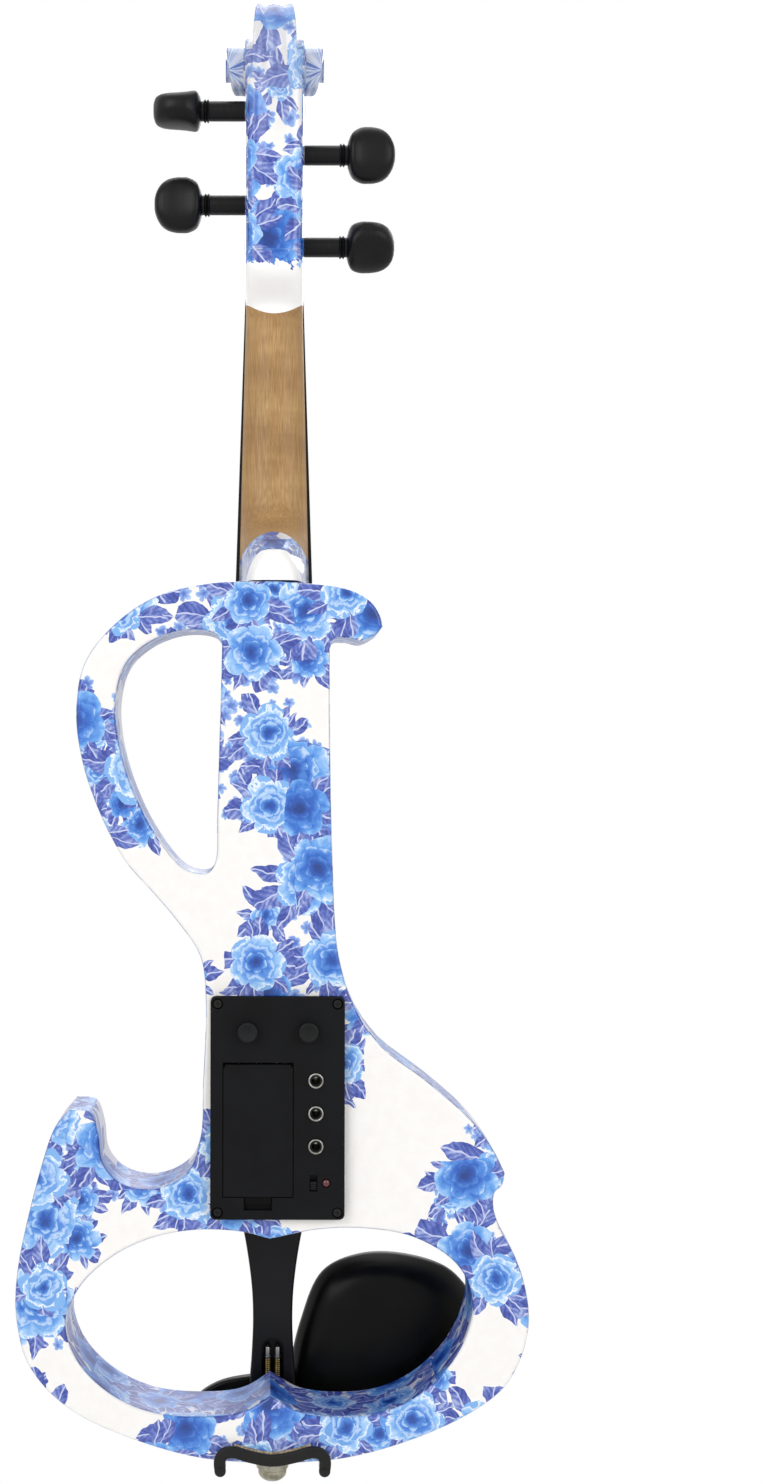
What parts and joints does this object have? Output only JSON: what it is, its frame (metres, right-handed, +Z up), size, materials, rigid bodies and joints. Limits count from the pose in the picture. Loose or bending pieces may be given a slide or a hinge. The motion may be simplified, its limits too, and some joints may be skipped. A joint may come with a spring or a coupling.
{
  "type": "electric violin",
  "caption": "Open-frame solid-body electric violin with a maple neck, scroll, black pegs, tailpiece with fine tuners, clamped chin rest and a control box with a battery door on the back.",
  "frame": {"origin": "the point between the ears of the scroll, on their underside, where a hanger's yoke holds the violin", "axes": "+Z up the neck from the end button to the scroll, +Y from the back to the strings, +X to the right of someone who looks at the back"},
  "size_m": [0.2076, 0.0744, 0.6044],
  "materials": {
    "lacquered_body": "gloss white lacquer with a blue flower pattern",
    "maple_neck": "satin oiled maple; pegbox and scroll painted",
    "bridge_maple": "plain unvarnished maple",
    "black_wood": "polished black hardwood",
    "black_plastic": "matte to satin black",
    "black_metal": "black coated steel",
    "nickel": "nickel plated",
    "string_steel": "wound steel",
    "brass": "satin brass",
    "cork": "sheet cork",
    "battery_wrap": "plain grey sleeve",
    "circuit_board": "green solder mask",
    "red_lens": "clear red lens"
  },
  "bodies": {
    "violin": {"body": "lacquered_body", "neck": "maple_neck", "fingerboard": "black_wood", "nut": "black_wood", "saddle": "black_wood", "bridge": "bridge_maple", "bridge_pickup": "brass", "pickup_lead": "black_plastic", "string_g": "string_steel", "string_d": "string_steel", "string_a": "string_steel", "string_e": "string_steel", "tailpiece": "black_plastic", "tail_gut": "black_plastic", "end_button": "nickel", "chin_rest": "black_plastic", "chin_rest_cork_left": "cork", "chin_rest_cork_right": "cork", "clamp_bracket": "black_metal", "clamp_bracket_cork": "cork", "control_panel": "black_plastic", "battery": "battery_wrap", "battery_contacts": "nickel", "circuit_board": "circuit_board", "potentiometer_left": "nickel", "potentiometer_right": "nickel", "jack_line": "nickel", "jack_headphone": "nickel", "jack_input": "nickel", "switch_body": "nickel", "power_light": "red_lens", "panel_screw_upper_left": "black_metal", "panel_screw_upper_right": "black_metal", "panel_screw_lower_left": "black_metal", "panel_screw_lower_right": "black_metal"},
    "tuning_peg_g": {"peg_g": "black_wood", "winding_g": "string_steel"},
    "tuning_peg_d": {"peg_d": "black_wood", "winding_d": "string_steel"},
    "tuning_peg_a": {"peg_a": "black_wood", "winding_a": "string_steel"},
    "tuning_peg_e": {"peg_e": "black_wood", "winding_e": "string_steel"},
    "tuner_screw_g": {"fine_tuner_screw_g": "nickel"},
    "tuner_screw_d": {"fine_tuner_screw_d": "nickel"},
    "tuner_screw_a": {"fine_tuner_screw_a": "nickel"},
    "tuner_screw_e": {"fine_tuner_screw_e": "nickel"},
    "tuner_lever_g": {"fine_tuner_lever_g": "nickel"},
    "tuner_lever_d": {"fine_tuner_lever_d": "nickel"},
    "tuner_lever_a": {"fine_tuner_lever_a": "nickel"},
    "tuner_lever_e": {"fine_tuner_lever_e": "nickel"},
    "gut_nut_left": {"tailgut_nut_left": "brass"},
    "gut_nut_right": {"tailgut_nut_right": "brass"},
    "barrel_left": {"clamp_barrel_left": "nickel"},
    "barrel_right": {"clamp_barrel_right": "nickel"},
    "volume_knob": {"knob_left": "black_plastic"},
    "tone_knob": {"knob_right": "black_plastic"},
    "door": {"battery_door": "black_plastic"},
    "slider": {"switch_slider": "black_plastic"}
  },
  "joints": [
    {"name": "peg_g_turn", "type": "hinge", "parent": "violin", "child": "tuning_peg_g", "pos_m": [0, 0.008, -0.06099], "axis": [1, 0, 0], "range_deg": [-90, 1080]},
    {"name": "peg_d_turn", "type": "hinge", "parent": "violin", "child": "tuning_peg_d", "pos_m": [0, 0.003, -0.02449], "axis": [1, 0, 0], "range_deg": [-90, 1080]},
    {"name": "peg_a_turn", "type": "hinge", "parent": "violin", "child": "tuning_peg_a", "pos_m": [0, -0.0025, -0.00829], "axis": [1, 0, 0], "range_deg": [-90, 1080]},
    {"name": "peg_e_turn", "type": "hinge", "parent": "violin", "child": "tuning_peg_e", "pos_m": [0, 0.006, -0.04419], "axis": [1, 0, 0], "range_deg": [-90, 1080]},
    {"name": "tuner_screw_g_turn", "type": "hinge", "parent": "violin", "child": "tuner_screw_g", "pos_m": [0.0145, 0.032, -0.46079], "axis": [0, -1, 0], "range_deg": [0, 1080]},
    {"name": "tuner_screw_d_turn", "type": "hinge", "parent": "violin", "child": "tuner_screw_d", "pos_m": [0.00483, 0.032, -0.46079], "axis": [0, -1, 0], "range_deg": [0, 1080]},
    {"name": "tuner_screw_a_turn", "type": "hinge", "parent": "violin", "child": "tuner_screw_a", "pos_m": [-0.00483, 0.032, -0.46079], "axis": [0, -1, 0], "range_deg": [0, 1080]},
    {"name": "tuner_screw_e_turn", "type": "hinge", "parent": "violin", "child": "tuner_screw_e", "pos_m": [-0.0145, 0.032, -0.46079], "axis": [0, -1, 0], "range_deg": [0, 1080]},
    {"name": "tuner_lever_g_tilt", "type": "hinge", "parent": "violin", "child": "tuner_lever_g", "pos_m": [0.0145, 0.0278, -0.44779], "axis": [-1, 0, 0], "range_deg": [0, 6.5], "deforming": ["string_g"]},
    {"name": "tuner_lever_d_tilt", "type": "hinge", "parent": "violin", "child": "tuner_lever_d", "pos_m": [0.00483, 0.0278, -0.44779], "axis": [-1, 0, 0], "range_deg": [0, 6.5], "deforming": ["string_d"]},
    {"name": "tuner_lever_a_tilt", "type": "hinge", "parent": "violin", "child": "tuner_lever_a", "pos_m": [-0.00483, 0.0278, -0.44779], "axis": [-1, 0, 0], "range_deg": [0, 6.5], "deforming": ["string_a"]},
    {"name": "tuner_lever_e_tilt", "type": "hinge", "parent": "violin", "child": "tuner_lever_e", "pos_m": [-0.0145, 0.0278, -0.44779], "axis": [-1, 0, 0], "range_deg": [0, 6.5], "deforming": ["string_e"]},
    {"name": "gut_nut_left_turn", "type": "hinge", "parent": "violin", "child": "gut_nut_left", "pos_m": [-0.00215, 0.0325, -0.52929], "axis": [0, 0, 1], "range_deg": [-720, 720]},
    {"name": "gut_nut_right_turn", "type": "hinge", "parent": "violin", "child": "gut_nut_right", "pos_m": [0.00215, 0.0325, -0.52929], "axis": [0, 0, 1], "range_deg": [-720, 720]},
    {"name": "barrel_left_turn", "type": "hinge", "parent": "violin", "child": "barrel_left", "pos_m": [-0.021, 0.0055, -0.55909], "axis": [0, 1, 0], "range_deg": [-1080, 90]},
    {"name": "barrel_right_turn", "type": "hinge", "parent": "violin", "child": "barrel_right", "pos_m": [0.021, 0.0055, -0.55909], "axis": [0, 1, 0], "range_deg": [-1080, 90]},
    {"name": "volume_turn", "type": "hinge", "parent": "violin", "child": "volume_knob", "pos_m": [-0.0102, -0.0166, -0.38199], "axis": [0, 1, 0], "range_deg": [-150, 150]},
    {"name": "tone_turn", "type": "hinge", "parent": "violin", "child": "tone_knob", "pos_m": [0.0142, -0.0166, -0.38199], "axis": [0, 1, 0], "range_deg": [-150, 150]},
    {"name": "door_swing", "type": "hinge", "parent": "violin", "child": "door", "pos_m": [-0.006, -0.0146, -0.39659], "axis": [-1, 0, 0], "range_deg": [0, 95]},
    {"name": "power_slide", "type": "slide", "parent": "violin", "child": "slider", "axis": [0, 0, 1], "range_m": [0, 0.0026]}
  ],
  "couplings": [
    {"joint": "tuner_lever_g_tilt", "follows": "tuner_screw_g_turn", "ratio": 0.006},
    {"joint": "tuner_lever_d_tilt", "follows": "tuner_screw_d_turn", "ratio": 0.006},
    {"joint": "tuner_lever_a_tilt", "follows": "tuner_screw_a_turn", "ratio": 0.006},
    {"joint": "tuner_lever_e_tilt", "follows": "tuner_screw_e_turn", "ratio": 0.006}
  ]
}
